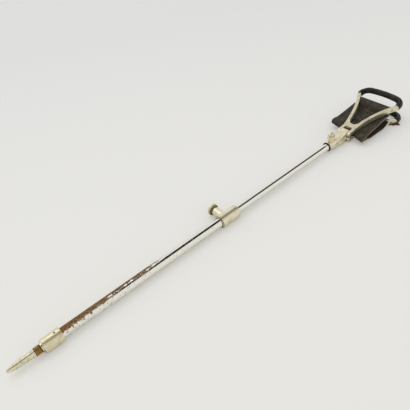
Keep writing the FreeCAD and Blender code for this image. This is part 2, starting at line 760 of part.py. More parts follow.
NODES = [
    "spike", "shoulder_ring", "ferrule", "ferrule_pin", "lower_tube",
    "collar", "collar_rivets", "guide_bush", "boss_bush",
    "plunger_pin", "plunger_spring", "plunger_knob",
    "upper_tube", "tube_foot", "head", "head_pin", "hinge_pin_upper", "hinge_pin_lower",
    "button_nut", "button_cap", "button_stem", "button_spring",
    "upper_frame", "upper_grip", "upper_seat_bar", "upper_sling",
    "lower_frame", "lower_grip", "lower_seat_bar", "lower_sling", "grip_tail",
]

make_spike()
make_shoulder_ring()
make_ferrule()
make_ferrule_pin()
make_lower_tube()
make_collar()
make_collar_rivets()
make_guide_bush()
make_boss_bush()
make_plunger_pin()
make_spring("plunger_spring", "flange_end", "bush_start", "plunger_turns", place_on_boss)
make_plunger_knob()
make_upper_tube()
make_tube_foot()
make_head()
make_head_pin()
make_hinge_pin("hinge_pin_upper", 1)
make_hinge_pin("hinge_pin_lower", -1)
make_button_nut()
make_button_cap()
make_button_stem()
make_spring("button_spring", "button_floor", "stem_flange", "button_turns", place_on_head)
for side, sign in (("upper", 1), ("lower", -1)):
    make_frame(side + "_frame", sign)
    make_grip(side + "_grip", sign)
    make_seat_bar(side + "_seat_bar", sign)
    make_sling(side + "_sling", sign)
make_grip_tail()

doc.recompute()
os.makedirs("parts", exist_ok=True)
for thing in doc.Objects:
    if "Invalid" in thing.State or "Error" in thing.State:
        raise RuntimeError("%s isn't built: %s" % (thing.Label, thing.State))
for node in NODES:
    shape = doc.getObjectsByLabel(node)[0].Shape
    if shape.isNull() or not shape.isValid() or shape.Volume < 1:
        raise RuntimeError("%s has no valid solid" % node)
    shape.exportStep("parts/%s.step" % node)
    print(node, round(shape.Volume, 1), len(shape.Solids))
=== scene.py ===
import math
import random

import bmesh
import bpy
from mathutils import Matrix, Vector, noise


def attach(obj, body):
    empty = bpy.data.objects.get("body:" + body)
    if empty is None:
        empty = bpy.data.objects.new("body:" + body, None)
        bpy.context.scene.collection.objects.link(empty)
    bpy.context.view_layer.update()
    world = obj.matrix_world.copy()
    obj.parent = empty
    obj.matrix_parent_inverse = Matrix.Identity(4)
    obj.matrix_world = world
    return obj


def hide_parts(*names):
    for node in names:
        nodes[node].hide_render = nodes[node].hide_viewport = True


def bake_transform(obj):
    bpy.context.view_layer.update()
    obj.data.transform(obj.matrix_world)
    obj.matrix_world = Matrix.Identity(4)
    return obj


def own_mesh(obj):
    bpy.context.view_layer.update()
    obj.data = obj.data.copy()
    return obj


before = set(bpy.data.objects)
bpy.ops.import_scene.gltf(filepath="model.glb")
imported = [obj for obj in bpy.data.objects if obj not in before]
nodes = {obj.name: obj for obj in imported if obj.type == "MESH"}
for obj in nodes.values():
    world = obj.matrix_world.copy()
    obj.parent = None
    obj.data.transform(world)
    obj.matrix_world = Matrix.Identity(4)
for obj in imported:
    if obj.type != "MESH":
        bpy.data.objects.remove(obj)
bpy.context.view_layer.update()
random.seed(11)
print("frame loaded:", len(nodes), "nodes")

# Stick measures in millimetres, the same as in the CAD
stick = {"halfLength": 501.95, "axisHeight": 12.7, "hingeAt": 842, "hingeOffset": 6, "openAngle": 11.2}


# A point by its station from the spike's tip, its distance across and its height over the stick's axis
def onStick(station, across, up):
    return Vector((station - stick["halfLength"], across, up + stick["axisHeight"])) / 1000


# A point by its distance out from a hinge pin, across the frame, and inwards from the frame's middle plane
def onFrame(side, out, across, inward):
    angle = math.radians(stick["openAngle"]) if side > 0 else 0
    along = out * math.cos(angle) + inward * math.sin(angle)
    up = out * math.sin(angle) - inward * math.cos(angle)
    return onStick(stick["hingeAt"] + along, across, side * (stick["hingeOffset"] + up))


def smoothStep(value, low, high):
    t = min(1, max(0, (value - low) / (high - low)))
    return t * t * (3 - 2 * t)


def hexColor(code):
    parts = [int(code[i:i + 2], 16) / 255 for i in (1, 3, 5)]
    linear = [c / 12.92 if c <= 0.04045 else ((c + 0.055) / 1.055) ** 2.4 for c in parts]
    return (*linear, 1.0)


def addNode(tree, kind, inputs=None, stops=None, **settings):
    node = tree.nodes.new(kind)
    for name, value in settings.items():
        setattr(node, name, value)
    if stops:  # colour ramp: [(position, hex), ...]
        ramp = node.color_ramp
        while len(ramp.elements) > len(stops):
            ramp.elements.remove(ramp.elements[-1])
        while len(ramp.elements) < len(stops):
            ramp.elements.new(1.0)
        for element, (position, code) in zip(ramp.elements, stops):
            element.position = position
            element.color = hexColor(code)
    for key, value in (inputs or {}).items():
        if isinstance(value, bpy.types.NodeSocket):
            tree.links.new(value, node.inputs[key])
        else:
            node.inputs[key].default_value = value
    return node


def newMaterial(name):
    material = bpy.data.materials.new(name)
    material.use_nodes = True
    tree = material.node_tree
    return material, tree, tree.nodes["Principled BSDF"]


# Object coordinates in millimetres, from the spike's tip along the stick's axis
def millimetres(tree):
    place = addNode(tree, "ShaderNodeTexCoord")
    moved = addNode(tree, "ShaderNodeMapping", {
        "Vector": place.outputs["Object"], "Scale": (1000, 1000, 1000),
        "Location": (stick["halfLength"], 0, -stick["axisHeight"])})
    return moved.outputs[0]


# A point's distance from the stick's axis
def fromAxis(tree, parts):
    flat = addNode(tree, "ShaderNodeCombineXYZ", {"Y": parts.outputs["Y"], "Z": parts.outputs["Z"]})
    return addNode(tree, "ShaderNodeVectorMath", {0: flat.outputs[0]}, operation="LENGTH").outputs["Value"]


# Camera, fitted to the stick's own points; angles in degrees
camera = {"place": (-0.50064, -0.56129, 0.68485), "heading": 53.2249, "tilt": 40.926, "roll": -7.7517,
          "lens": 44.53, "sensor": 36, "farthest": 50}


def makeCamera():
    heading, tilt, roll = (math.radians(camera[k]) for k in ("heading", "tilt", "roll"))
    ahead = Vector((math.cos(heading) * math.cos(tilt), math.sin(heading) * math.cos(tilt),
                    -math.sin(tilt)))
    side = ahead.cross(Vector((0, 0, 1))).normalized()
    above = side.cross(ahead)
    right = side * math.cos(roll) + above * math.sin(roll)
    up = above * math.cos(roll) - side * math.sin(roll)
    data = bpy.data.cameras.new("camera")
    data.lens = camera["lens"]
    data.sensor_width = camera["sensor"]
    data.clip_end = camera["farthest"]
    eye = bpy.data.objects.new("camera", data)
    bpy.context.scene.collection.objects.link(eye)
    turned = Matrix((right, up, -ahead)).transposed().to_4x4()
    eye.matrix_world = Matrix.Translation(camera["place"]) @ turned
    bpy.context.scene.camera = eye


makeCamera()
print("camera placed")

# Studio: a pale paper floor with a painted falloff of light, lighter near and dimmer far, an even sky with a dark
# strip overhead that the tubes mirror, and one soft lamp
studio = {"floorLitNear": "#E9E8E3", "floorDimFar": "#DEDEDD", "floorGlow": 0.32, "floorSize": 6, "floorRough": 0.9,
          "toneSlant": 0.3, "toneStart": -0.2, "toneEnd": 1.1, "world": 0.86, "strip": "#050505",
          "stripHalf": 0.42, "stripFade": (1.5, 0.6), "keyPower": 10.0, "keySize": 1.8,
          "keyPlace": (-0.3, 1.2, 2.3), "keyAim": (0.1, 0, 0)}


def makeStudio():
    bpy.context.scene.view_settings.view_transform = "Standard"
    world = bpy.data.worlds.new("studioWorld")
    bpy.context.scene.world = world
    world.use_nodes = True
    tree = world.node_tree
    tree.nodes.clear()
    way = addNode(tree, "ShaderNodeTexCoord")
    parts = addNode(tree, "ShaderNodeSeparateXYZ", {0: way.outputs["Generated"]})
    across = addNode(tree, "ShaderNodeMath", {0: parts.outputs["Y"]}, operation="ABSOLUTE")
    height = addNode(tree, "ShaderNodeMath", {0: parts.outputs["Z"], 1: 0.02}, operation="MAXIMUM")
    slope = addNode(tree, "ShaderNodeMath", {0: across.outputs[0], 1: height.outputs[0]}, operation="DIVIDE")
    outer, inner = studio["stripFade"]
    inStrip = addNode(tree, "ShaderNodeMapRange", {
        "Value": slope.outputs[0], "From Min": studio["stripHalf"] * outer,
        "From Max": studio["stripHalf"] * inner})
    ray = addNode(tree, "ShaderNodeLightPath")
    mirrored = addNode(tree, "ShaderNodeMath", {0: inStrip.outputs[0], 1: ray.outputs["Is Glossy Ray"]},
                       operation="MULTIPLY")
    colour = addNode(tree, "ShaderNodeMix", {"Factor": mirrored.outputs[0], 6: (1, 1, 1, 1),
                                             7: hexColor(studio["strip"])}, data_type="RGBA")
    back = addNode(tree, "ShaderNodeBackground", {"Color": colour.outputs[2], "Strength": studio["world"]})
    addNode(tree, "ShaderNodeOutputWorld", {"Surface": back.outputs[0]})
    data = bpy.data.lights.new("keyLight", "AREA")
    data.size = studio["keySize"]
    data.energy = studio["keyPower"]
    key = bpy.data.objects.new("keyLight", data)
    bpy.context.scene.collection.objects.link(key)
    key.location = studio["keyPlace"]
    key.rotation_euler = (Vector(studio["keyAim"]) - key.location).to_track_quat("-Z", "Y").to_euler()
    shape = bmesh.new()
    bmesh.ops.create_grid(shape, x_segments=1, y_segments=1, size=studio["floorSize"])
    mesh = bpy.data.meshes.new("floor")
    shape.to_mesh(mesh)
    floor = bpy.data.objects.new("floor", mesh)
    bpy.context.scene.collection.objects.link(floor)
    material, tree, paper = newMaterial("paperFloor")
    # painted light: the paper's colour goes from a lighter tone near the camera to a dimmer one far off, standing
    # in for the lamp's falloff
    spot = addNode(tree, "ShaderNodeSeparateXYZ", {0: addNode(tree, "ShaderNodeTexCoord").outputs["Object"]})
    far = addNode(tree, "ShaderNodeMath", {0: spot.outputs["X"], 1: studio["toneSlant"], 2: spot.outputs["Y"]},
                  operation="MULTIPLY_ADD")
    fall = addNode(tree, "ShaderNodeMapRange", {
        "Value": far.outputs[0], "From Min": studio["toneStart"], "From Max": studio["toneEnd"]})
    paintedFalloff = addNode(tree, "ShaderNodeMix", {
        "Factor": fall.outputs[0], 6: hexColor(studio["floorLitNear"]), 7: hexColor(studio["floorDimFar"])},
        data_type="RGBA")
    # the camera sees part of the paper's tone as glow, which keeps the shadow as faint as studio fill does
    ray = addNode(tree, "ShaderNodeLightPath")
    seen = addNode(tree, "ShaderNodeMath", {0: ray.outputs["Is Camera Ray"], 1: studio["floorGlow"]},
                   operation="MULTIPLY")
    rest = addNode(tree, "ShaderNodeMath", {0: 1.0, 1: seen.outputs[0]}, operation="SUBTRACT")
    lit = addNode(tree, "ShaderNodeVectorMath", {0: paintedFalloff.outputs[2], "Scale": rest.outputs[0]},
                  operation="SCALE")
    tree.links.new(lit.outputs[0], paper.inputs["Base Color"])
    tree.links.new(paintedFalloff.outputs[2], paper.inputs["Emission Color"])
    tree.links.new(seen.outputs[0], paper.inputs["Emission Strength"])
    paper.inputs["Roughness"].default_value = studio["floorRough"]
    mesh.materials.append(material)


makeStudio()
print("studio ready")


# A finished piece: its mesh from a bmesh, smooth shaded, riding on a body
def finishPiece(name, shape, materials, body, replaced=(), smooth=True):
    mesh = bpy.data.meshes.new(name)
    shape.to_mesh(mesh)
    shape.free()
    for material in materials:
        mesh.materials.append(material)
    if smooth:
        mesh.shade_smooth()
    piece = bpy.data.objects.new(name, mesh)
    bpy.context.scene.collection.objects.link(piece)
    if body:
        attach(piece, body)
    if replaced:
        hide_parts(*replaced)
    return piece


def dress(material, *names):
    for name in names:
        mesh = nodes[name].data
        mesh.materials.clear()
        mesh.materials.append(material)


# Cast aluminium-magnesium alloy, sand cast and hand finished, gone dull and a little yellow: broad soft
# highlights, a faint grit, and painted shade with grime that darkens the corners by ambient occlusion
castAlloy = {"pale": "#EFE6CC", "mid": "#E2D9BA", "olive": "#C2BEA0", "cornerShadeGrime": "#5A4A2E", "golden": "#C9B36A",
             "rough": 0.3, "metallic": 0.85, "grit": 0.2, "gritPerMm": 1.6, "gritDepth": 0.00025, "patch": 14.0,
             "streakPerMm": (0.05, 0.6, 0.6), "shadeReach": 0.004, "shadeShare": 0.8, "softEdge": 0.0004}

# Darker rings on the head and the collar: first and last station, least and greatest radius, colour
darkRings = {"head": [(778, 782, 7, 10.6, "#4E4020")],
             "collar": [(449, 451.6, 12.3, 14, "#7A6A42"), (449, 450.4, 8, 10.6, "#4E4020")]}


def makeCastAlloy(name, colours, streaks=0.0, bands=()):
    material, tree, metal = newMaterial(name)
    place = millimetres(tree)
    patches = addNode(tree, "ShaderNodeTexNoise", {
        "Vector": place, "Scale": 1 / colours["patch"], "Detail": 5.0, "Roughness": 0.6})
    tone = addNode(tree, "ShaderNodeValToRGB", {0: patches.outputs["Fac"]},
                   stops=[(0.28, colours["olive"]), (0.42, colours["mid"]), (0.6, colours["pale"])])
    stretch = addNode(tree, "ShaderNodeMapping", {
        "Vector": place, "Scale": colours["streakPerMm"]})
    lines = addNode(tree, "ShaderNodeTexNoise", {"Vector": stretch.outputs[0], "Scale": 1.0, "Detail": 3.0})
    golden = addNode(tree, "ShaderNodeMapRange", {
        "Value": lines.outputs["Fac"], "From Min": 0.52, "From Max": 0.62, "To Max": streaks})
    streaked = addNode(tree, "ShaderNodeMix", {
        "Factor": golden.outputs[0], 6: tone.outputs[0], 7: hexColor(colours["golden"])}, data_type="RGBA")
    # painted shade with grime: ambient occlusion darkens corners and creases towards a dark brown
    corner = addNode(tree, "ShaderNodeAmbientOcclusion", {"Distance": colours["shadeReach"]}, samples=6)
    paintedShade = addNode(tree, "ShaderNodeMapRange", {
        "Value": corner.outputs["AO"], "From Min": 0.7, "From Max": 0.25, "To Max": colours["shadeShare"]})
    shadedColour = addNode(tree, "ShaderNodeMix", {
        "Factor": paintedShade.outputs[0], 6: streaked.outputs[2], 7: hexColor(colours["cornerShadeGrime"])}, data_type="RGBA")
    shown = shadedColour.outputs[2]
    parts = addNode(tree, "ShaderNodeSeparateXYZ", {0: place})
    radius = fromAxis(tree, parts)
    for first, last, least, greatest, code in bands:
        station = addNode(tree, "ShaderNodeMath", {0: parts.outputs["X"], 1: (first + last) / 2,
                                                   2: (last - first) / 2}, operation="COMPARE")
        reach = addNode(tree, "ShaderNodeMath", {0: radius, 1: (least + greatest) / 2,
                                                 2: (greatest - least) / 2}, operation="COMPARE")
        inBand = addNode(tree, "ShaderNodeMath", {0: station.outputs[0], 1: reach.outputs[0]},
                         operation="MULTIPLY")
        shown = addNode(tree, "ShaderNodeMix", {"Factor": inBand.outputs[0], 6: shown, 7: hexColor(code)},
                        data_type="RGBA").outputs[2]
    grit = addNode(tree, "ShaderNodeTexNoise", {
        "Vector": place, "Scale": colours["gritPerMm"], "Detail": 4.0})
    rough = addNode(tree, "ShaderNodeMapRange", {
        "Value": patches.outputs["Fac"], "To Min": colours["rough"] + 0.12,
        "To Max": colours["rough"] - 0.08})
    softEdge = addNode(tree, "ShaderNodeBevel", {"Radius": colours["softEdge"]}, samples=4)
    bump = addNode(tree, "ShaderNodeBump", {
        "Height": grit.outputs["Fac"], "Distance": colours["gritDepth"], "Strength": colours["grit"],
        "Normal": softEdge.outputs[0]})
    tree.links.new(shown, metal.inputs["Base Color"])
    tree.links.new(rough.outputs[0], metal.inputs["Roughness"])
    tree.links.new(bump.outputs[0], metal.inputs["Normal"])
    metal.inputs["Metallic"].default_value = colours["metallic"]
    return material


castMaterial = makeCastAlloy("sandCastAlloy", castAlloy)
headMaterial = makeCastAlloy("headAlloy", dict(castAlloy, rough=0.24), 0.0, darkRings["head"])
ferruleMaterial = makeCastAlloy("ferruleAlloy", dict(castAlloy, rough=0.36, patch=18.0), 0.6)
collarMaterial = makeCastAlloy("collarAlloy", dict(castAlloy, rough=0.34, patch=20.0), 0.25,
                               darkRings["collar"])
dress(headMaterial, "head")
dress(castMaterial, "upper_frame", "lower_frame", "button_nut", "button_cap")
dress(ferruleMaterial, "ferrule")
dress(collarMaterial, "collar")
print("cast alloy ready")

# Chrome plate on drawn steel tube: a mirror with dark specks, rusted through in flakes where it stood in wet
# ground; the rust is dull, crusty and no metal to the eye
tubeFinish = {"chrome": "#F1EEE4", "rough": 0.06, "rustStart": 98, "rustEnd": 318, "rustTurn": 115,
              "rustHalfNear": 72, "rustHalfFar": 16, "rust": ("#2C1E0C", "#6E4C22", "#B08A4A"),
              "wet": "#8A4A18", "wetEnd": 125.0, "flakePerMm": 0.16, "ragged": 42.0, "speckPerMm": 0.5,
              "speckEnd": 820.0, "grainPerMm": 0.7, "crustDepth": 0.0006, "rustRough": 0.82,
              "rustMetallic": 0.15}


def makeChromeTube():
    material, tree, metal = newMaterial("rustedChromePlate")
    place = millimetres(tree)
    parts = addNode(tree, "ShaderNodeSeparateXYZ", {0: place})
    back = addNode(tree, "ShaderNodeMath", {0: parts.outputs["Y"], 1: -1.0}, operation="MULTIPLY")
    turn = addNode(tree, "ShaderNodeMath", {0: parts.outputs["Z"], 1: back.outputs[0]}, operation="ARCTAN2")
    turned = addNode(tree, "ShaderNodeMath", {0: turn.outputs[0]}, operation="DEGREES")
    off = addNode(tree, "ShaderNodeMath", {0: turned.outputs[0], 1: float(tubeFinish["rustTurn"])},
                  operation="SUBTRACT")
    away = addNode(tree, "ShaderNodeMath", {0: off.outputs[0]}, operation="ABSOLUTE")
    half = addNode(tree, "ShaderNodeMapRange", {
        "Value": parts.outputs["X"], "From Min": tubeFinish["rustStart"], "From Max": tubeFinish["rustEnd"],
        "To Min": tubeFinish["rustHalfNear"], "To Max": tubeFinish["rustHalfFar"]})
    inside = addNode(tree, "ShaderNodeMath", {0: half.outputs[0], 1: away.outputs[0]}, operation="SUBTRACT")
    flakes = addNode(tree, "ShaderNodeTexNoise", {
        "Vector": place, "Scale": tubeFinish["flakePerMm"], "Detail": 8.0, "Roughness": 0.68})
    ragged = addNode(tree, "ShaderNodeMapRange", {
        "Value": flakes.outputs["Fac"], "From Min": 0.3, "From Max": 0.7, "To Min": -tubeFinish["ragged"],
        "To Max": tubeFinish["ragged"]})
    edge = addNode(tree, "ShaderNodeMath", {0: inside.outputs[0], 1: ragged.outputs[0]}, operation="ADD")
    rusty = addNode(tree, "ShaderNodeMapRange", {"Value": edge.outputs[0], "From Min": -2.0, "From Max": 4.0})
    ending = addNode(tree, "ShaderNodeMapRange", {
        "Value": parts.outputs["X"], "From Min": tubeFinish["rustEnd"],
        "From Max": tubeFinish["rustEnd"] - 40.0})
    rustMask = addNode(tree, "ShaderNodeMath", {0: rusty.outputs[0], 1: ending.outputs[0]},
                       operation="MULTIPLY")
    specks = addNode(tree, "ShaderNodeTexNoise", {
        "Vector": place, "Scale": tubeFinish["speckPerMm"], "Detail": 4.0, "Roughness": 0.7})
    fewer = addNode(tree, "ShaderNodeMapRange", {
        "Value": parts.outputs["X"], "From Min": tubeFinish["rustStart"], "From Max": tubeFinish["speckEnd"],
        "To Min": 0.60, "To Max": 0.70})
    speck = addNode(tree, "ShaderNodeMath", {0: specks.outputs["Fac"], 1: fewer.outputs[0]},
                    operation="GREATER_THAN")
    mask = addNode(tree, "ShaderNodeMath", {0: rustMask.outputs[0], 1: speck.outputs[0]}, operation="MAXIMUM")
    low, mid, high = tubeFinish["rust"]
    grain = addNode(tree, "ShaderNodeTexNoise", {
        "Vector": place, "Scale": tubeFinish["grainPerMm"], "Detail": 7.0, "Roughness": 0.7})
    rustTone = addNode(tree, "ShaderNodeValToRGB", {0: grain.outputs["Fac"]},
                       stops=[(0.38, low), (0.5, mid), (0.62, high)])
    nearEnd = addNode(tree, "ShaderNodeMapRange", {
        "Value": parts.outputs["X"], "From Min": tubeFinish["wetEnd"], "From Max": tubeFinish["rustStart"],
        "To Max": 0.7})
    rustColour = addNode(tree, "ShaderNodeMix", {
        "Factor": nearEnd.outputs[0], 6: rustTone.outputs[0], 7: hexColor(tubeFinish["wet"])},
        data_type="RGBA")
    colour = addNode(tree, "ShaderNodeMix", {
        "Factor": mask.outputs[0], 6: hexColor(tubeFinish["chrome"]), 7: rustColour.outputs[2]},
        data_type="RGBA")
    gloss = addNode(tree, "ShaderNodeMapRange", {
        "Value": mask.outputs[0], "To Min": tubeFinish["rough"], "To Max": tubeFinish["rustRough"]})
    shine = addNode(tree, "ShaderNodeMapRange", {
        "Value": mask.outputs[0], "To Min": 1.0, "To Max": tubeFinish["rustMetallic"]})
    crust = addNode(tree, "ShaderNodeMath", {0: mask.outputs[0], 1: grain.outputs["Fac"]},
                    operation="MULTIPLY")
    bump = addNode(tree, "ShaderNodeBump", {
        "Height": crust.outputs[0], "Distance": tubeFinish["crustDepth"], "Strength": 0.7})
    tree.links.new(colour.outputs[2], metal.inputs["Base Color"])
    tree.links.new(gloss.outputs[0], metal.inputs["Roughness"])
    tree.links.new(shine.outputs[0], metal.inputs["Metallic"])
    tree.links.new(bump.outputs[0], metal.inputs["Normal"])
    return material


dress(makeChromeTube(), "lower_tube", "upper_tube")
print("chrome ready")

# Turned steel and brass: fine rings round the work from the tool, worn smooth, with a faint brown stain
turnedSteel = {"bright": "#DAD6C4", "dark": "#4A443A", "wire": "#8C8B86", "shoulder": "#E6DFC0",
               "brass": "#B89A55", "soil": "#8A7C5C", "soilShare": 0.5, "ringPerMm": 0.9, "ringDepth": 0.0002,
               "stainPerMm": 0.25}


def makeTurnedSteel(name, colour, rough, metallic=1.0):
    material, tree, metal = newMaterial(name)
    place = millimetres(tree)
    stretch = addNode(tree, "ShaderNodeMapping", {
        "Vector": place, "Scale": (turnedSteel["ringPerMm"], 0.02, 0.02)})
    rings = addNode(tree, "ShaderNodeTexNoise", {"Vector": stretch.outputs[0], "Scale": 1.0, "Detail": 6.0})
    stain = addNode(tree, "ShaderNodeTexNoise", {
        "Vector": place, "Scale": turnedSteel["stainPerMm"], "Detail": 4.0})
    tone = addNode(tree, "ShaderNodeMapRange", {
        "Value": stain.outputs["Fac"], "From Min": 0.35, "From Max": 0.7, "To Max": turnedSteel["soilShare"]})
    mixed = addNode(tree, "ShaderNodeMix", {
        "Factor": tone.outputs[0], 6: hexColor(colour), 7: hexColor(turnedSteel["soil"])}, data_type="RGBA")
    bump = addNode(tree, "ShaderNodeBump", {
        "Height": rings.outputs["Fac"], "Distance": turnedSteel["ringDepth"], "Strength": 0.4})
    tree.links.new(mixed.outputs[2], metal.inputs["Base Color"])
    tree.links.new(bump.outputs[0], metal.inputs["Normal"])
    metal.inputs["Roughness"].default_value = rough
    metal.inputs["Metallic"].default_value = metallic
    return material


brightSteel = makeTurnedSteel("brightTurnedSteel", turnedSteel["bright"], 0.28)
darkSteel = makeTurnedSteel("darkSteel", turnedSteel["dark"], 0.5, 0.8)
springSteel = makeTurnedSteel("springWire", turnedSteel["wire"], 0.35)
bushBrass = makeTurnedSteel("bushBrass", turnedSteel["brass"], 0.4)
shoulderSteel = makeTurnedSteel("shoulderSteel", turnedSteel["shoulder"], 0.22)
dress(brightSteel, "boss_bush", "plunger_pin", "hinge_pin_upper", "hinge_pin_lower", "button_stem",
      "upper_seat_bar", "lower_seat_bar")
dress(shoulderSteel, "shoulder_ring")
dress(darkSteel, "ferrule_pin", "collar_rivets", "head_pin")
dress(springSteel, "plunger_spring", "button_spring")
dress(bushBrass, "guide_bush", "tube_foot")

# Spike: turned steel worn by the ground to a pale yellowish grey, brown where the thread starts
spikeFinish = {"tones": ("#B4B196", "#DCD6B6", "#F0E8C8"), "brown": "#4E3212", "brownStart": 48.8,
               "rough": 0.36, "metallic": 0.8, "wearPerMm": 0.22, "ringPerMm": 1.2, "ringDepth": 0.0003}


def makeSpikeSteel():
    material, tree, metal = newMaterial("wornSpikeSteel")
    place = millimetres(tree)
    parts = addNode(tree, "ShaderNodeSeparateXYZ", {0: place})
    wear = addNode(tree, "ShaderNodeTexNoise", {
        "Vector": place, "Scale": spikeFinish["wearPerMm"], "Detail": 6.0, "Roughness": 0.62})
    tone = addNode(tree, "ShaderNodeValToRGB", {0: wear.outputs["Fac"]},
                   stops=list(zip((0.32, 0.5, 0.66), spikeFinish["tones"])))
    neck = addNode(tree, "ShaderNodeMapRange", {
        "Value": parts.outputs["X"], "From Min": spikeFinish["brownStart"] - 0.8,
        "From Max": spikeFinish["brownStart"]})
    colour = addNode(tree, "ShaderNodeMix", {
        "Factor": neck.outputs[0], 6: tone.outputs[0], 7: hexColor(spikeFinish["brown"])}, data_type="RGBA")
    stretch = addNode(tree, "ShaderNodeMapping", {
        "Vector": place, "Scale": (spikeFinish["ringPerMm"], 0.03, 0.03)})
    rings = addNode(tree, "ShaderNodeTexNoise", {"Vector": stretch.outputs[0], "Scale": 1.0, "Detail": 5.0})
    bump = addNode(tree, "ShaderNodeBump", {
        "Height": rings.outputs["Fac"], "Distance": spikeFinish["ringDepth"], "Strength": 0.4})
    tree.links.new(colour.outputs[2], metal.inputs["Base Color"])
    tree.links.new(bump.outputs[0], metal.inputs["Normal"])
    metal.inputs["Roughness"].default_value = spikeFinish["rough"]
    metal.inputs["Metallic"].default_value = spikeFinish["metallic"]
    return material


dress(makeSpikeSteel(), "spike")

# Screw thread on the neck: a ridge with a flat crest wound round it, its crest brass brown and its groove dark
# as painted shade; a real one may be finer, and this pitch is as coarse as it needs to show
thread = {"start": 49.4, "end": 59.8, "pitch": 2.3, "root": 6.9, "crest": 7.95, "steps": 28,
          "profile": ((0, "root"), (0.22, "crest"), (0.5, "crest"), (0.72, "root")), "ridge": "#D9A95C",
          "groove": "#3E260C", "darkTo": 7.2, "paleFrom": 7.6, "rough": 0.4, "metallic": 0.8}


def makeThread():
    material, tree, metal = newMaterial("threadShadedGrooves")
    parts = addNode(tree, "ShaderNodeSeparateXYZ", {0: millimetres(tree)})
    # painted shade: the colour darkens from crest to groove by distance from the axis
    height = addNode(tree, "ShaderNodeMapRange", {
        "Value": fromAxis(tree, parts), "From Min": thread["darkTo"], "From Max": thread["paleFrom"]})
    colour = addNode(tree, "ShaderNodeMix", {
        "Factor": height.outputs[0], 6: hexColor(thread["groove"]), 7: hexColor(thread["ridge"])},
        data_type="RGBA")
    tree.links.new(colour.outputs[2], metal.inputs["Base Color"])
    metal.inputs["Roughness"].default_value = thread["rough"]
    metal.inputs["Metallic"].default_value = thread["metallic"]
    turns = (thread["end"] - thread["start"] - thread["pitch"] * 0.8) / thread["pitch"]
    steps = round(turns * thread["steps"])
    shape = bmesh.new()
    spots = [shape.verts.new(onStick(thread["start"] + thread["pitch"] * share, 0, thread[level]))
             for share, level in thread["profile"]]
    face = shape.faces.new(spots)
    bmesh.ops.spin(shape, geom=[face, *face.edges, *face.verts], cent=onStick(0, 0, 0), axis=(1, 0, 0),
                   dvec=(turns * thread["pitch"] / steps / 1000, 0, 0), angle=turns * 2 * math.pi, steps=steps)
    bmesh.ops.recalc_face_normals(shape, faces=shape.faces)
    finishPiece("neckThread", shape, [material], "lower_shaft", smooth=False)


makeThread()
print("spike and thread ready")

# Plunger knob: a dished steel disc, painted olive long ago; its rim is coloured lighter as a painted highlight and
# made more metallic
knob = {"face": "#A1966C", "deep": "#776C48", "rim": "#D2CAA6", "station": 467.0, "stainPerMm": 0.45,
        "wobble": 1.2, "paintTo": 10.4, "highlightFrom": 11.4, "paintMetallic": 0.25, "rimMetallic": 0.85,
        "rough": 0.42}


def makeKnobFinish():
    material, tree, metal = newMaterial("knobPaintRimHighlight")
    place = millimetres(tree)
    parts = addNode(tree, "ShaderNodeSeparateXYZ", {0: place})
    along = addNode(tree, "ShaderNodeMath", {0: parts.outputs["X"], 1: knob["station"]}, operation="SUBTRACT")
    flat = addNode(tree, "ShaderNodeCombineXYZ", {"X": along.outputs[0], "Z": parts.outputs["Z"]})
    radius = addNode(tree, "ShaderNodeVectorMath", {0: flat.outputs[0]}, operation="LENGTH")
    stain = addNode(tree, "ShaderNodeTexNoise", {
        "Vector": place, "Scale": knob["stainPerMm"], "Detail": 5.0, "Roughness": 0.65})
    paint = addNode(tree, "ShaderNodeMix", {
        "Factor": stain.outputs["Fac"], 6: hexColor(knob["deep"]), 7: hexColor(knob["face"])}, data_type="RGBA")
    jitter = addNode(tree, "ShaderNodeMapRange", {
        "Value": stain.outputs["Fac"], "To Min": -knob["wobble"], "To Max": knob["wobble"]})
    reach = addNode(tree, "ShaderNodeMath", {0: radius.outputs["Value"], 1: jitter.outputs[0]}, operation="ADD")
    # painted highlight: the colour turns lighter towards the rim, with a wobbling edge
    rimLight = addNode(tree, "ShaderNodeMapRange", {
        "Value": reach.outputs[0], "From Min": knob["paintTo"], "From Max": knob["highlightFrom"]})
    colour = addNode(tree, "ShaderNodeMix", {
        "Factor": rimLight.outputs[0], 6: paint.outputs[2], 7: hexColor(knob["rim"])}, data_type="RGBA")
    metallic = addNode(tree, "ShaderNodeMapRange", {
        "Value": rimLight.outputs[0], "To Min": knob["paintMetallic"], "To Max": knob["rimMetallic"]})
    tree.links.new(colour.outputs[2], metal.inputs["Base Color"])
    tree.links.new(metallic.outputs[0], metal.inputs["Metallic"])
    metal.inputs["Roughness"].default_value = knob["rough"]
    return material


dress(makeKnobFinish(), "plunger_knob")

# Leather: vegetable tanned hide, dressed dark green, weathered; pebbled grain outside, brown suede inside
leather = {"grain": ("#14140E", "#2C2A1E", "#4A4834"), "brown": "#3E2E1C", "scuff": "#77745F",
           "stain": "#6A2E14", "stainSpot": (93, 7.5, 6), "stainWobble": 7.0, "suede": ("#0C0504", "#1C0E09"),
           "handled": ("#0B0A09", "#171512", "#26231D"), "cutEdge": ("#6E5C3A", "#B09C6C"),
           "waxed": ("#3A3426", "#7A6B48"), "frayed": ("#2A1809", "#5E3C18"), "pebble": 1.3,
           "pebbleDepth": 0.00025, "cloudPerMm": 0.1, "tingePerMm": 0.11, "rubPerMm": 0.35, "napPerMm": 1.1,
           "napDepth": 0.0004, "thick": 2.0}


